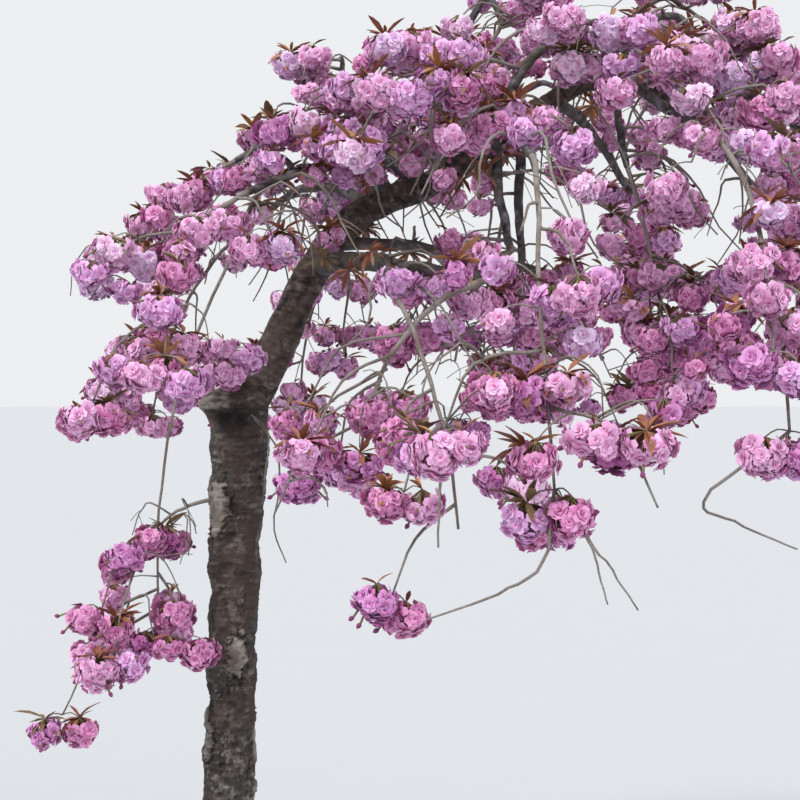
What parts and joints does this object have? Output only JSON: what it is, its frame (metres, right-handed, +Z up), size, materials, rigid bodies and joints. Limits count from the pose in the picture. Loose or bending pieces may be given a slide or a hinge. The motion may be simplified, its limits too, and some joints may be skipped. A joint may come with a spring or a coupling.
{
  "type": "weeping cherry tree in blossom",
  "caption": "Top-grafted weeping cherry in full pink double blossom: a straight grey stem, one arching limb and a low umbrella of hanging sprays.",
  "frame": {"origin": "the ground mount: the middle of the foot of the trunk, on level ground", "axes": "+Z up along the stem; +X to the right as seen from the front, the way the main limb arches; +Y to the back"},
  "size_m": [2.3903, 2.5964, 2.6128],
  "materials": {
    "trunk_bark": "rough grey-brown bark",
    "bough_bark": "smooth grey bark",
    "blossom": "soft double petals",
    "leaf": "young bronze leaf",
    "twig": "pale grey twig"
  },
  "bodies": {
    "root": {"trunk": "trunk_bark", "main_limb_lower": "trunk_bark", "main_limb_upper": "trunk_bark", "main_limb_arch": "trunk_bark", "bough_right": "bough_bark", "bough_right_back": "bough_bark", "bough_back_right": "bough_bark", "bough_back": "bough_bark", "bough_back_left": "bough_bark", "bough_left_back": "bough_bark", "bough_left": "bough_bark", "bough_left_front": "bough_bark", "bough_front": "bough_bark", "bough_front_right": "bough_bark", "bough_right_front": "bough_bark", "bough_low_front": "bough_bark", "bough_low_back": "bough_bark", "shoulder_back": "bough_bark", "shoulder_back_left": "bough_bark", "shoulder_left": "bough_bark", "shoulder_front_left": "bough_bark", "shoulder_front": "bough_bark", "shoulder_front_right": "bough_bark", "crest_loop": "bough_bark", "crest_top": "bough_bark", "shoot_left": "bough_bark", "arch_droop": "bough_bark", "inner_front": "bough_bark", "inner_back": "bough_bark", "hang_left": "bough_bark", "hang_low": "bough_bark", "blossom_main_limb_arch": "blossom", "blossom_bough_right": "blossom", "blossom_bough_right_back": "blossom", "blossom_bough_back_right": "blossom", "blossom_bough_back": "blossom", "blossom_bough_back_left": "blossom", "blossom_bough_left_back": "blossom", "blossom_bough_left": "blossom", "blossom_bough_left_front": "blossom", "blossom_bough_front": "blossom", "blossom_bough_front_right": "blossom", "blossom_bough_right_front": "blossom", "blossom_bough_low_front": "blossom", "blossom_bough_low_back": "blossom", "blossom_shoulder_back": "blossom", "blossom_shoulder_back_left": "blossom", "blossom_shoulder_left": "blossom", "blossom_shoulder_front_left": "blossom", "blossom_shoulder_front": "blossom", "blossom_shoulder_front_right": "blossom", "blossom_crest_loop": "blossom", "blossom_crest_top": "blossom", "blossom_shoot_left": "blossom", "blossom_arch_droop": "blossom", "blossom_inner_front": "blossom", "blossom_inner_back": "blossom", "blossom_hang_left": "blossom", "blossom_hang_low": "blossom", "blossom_trunk_spur": "blossom"}
  },
  "joints": []
}
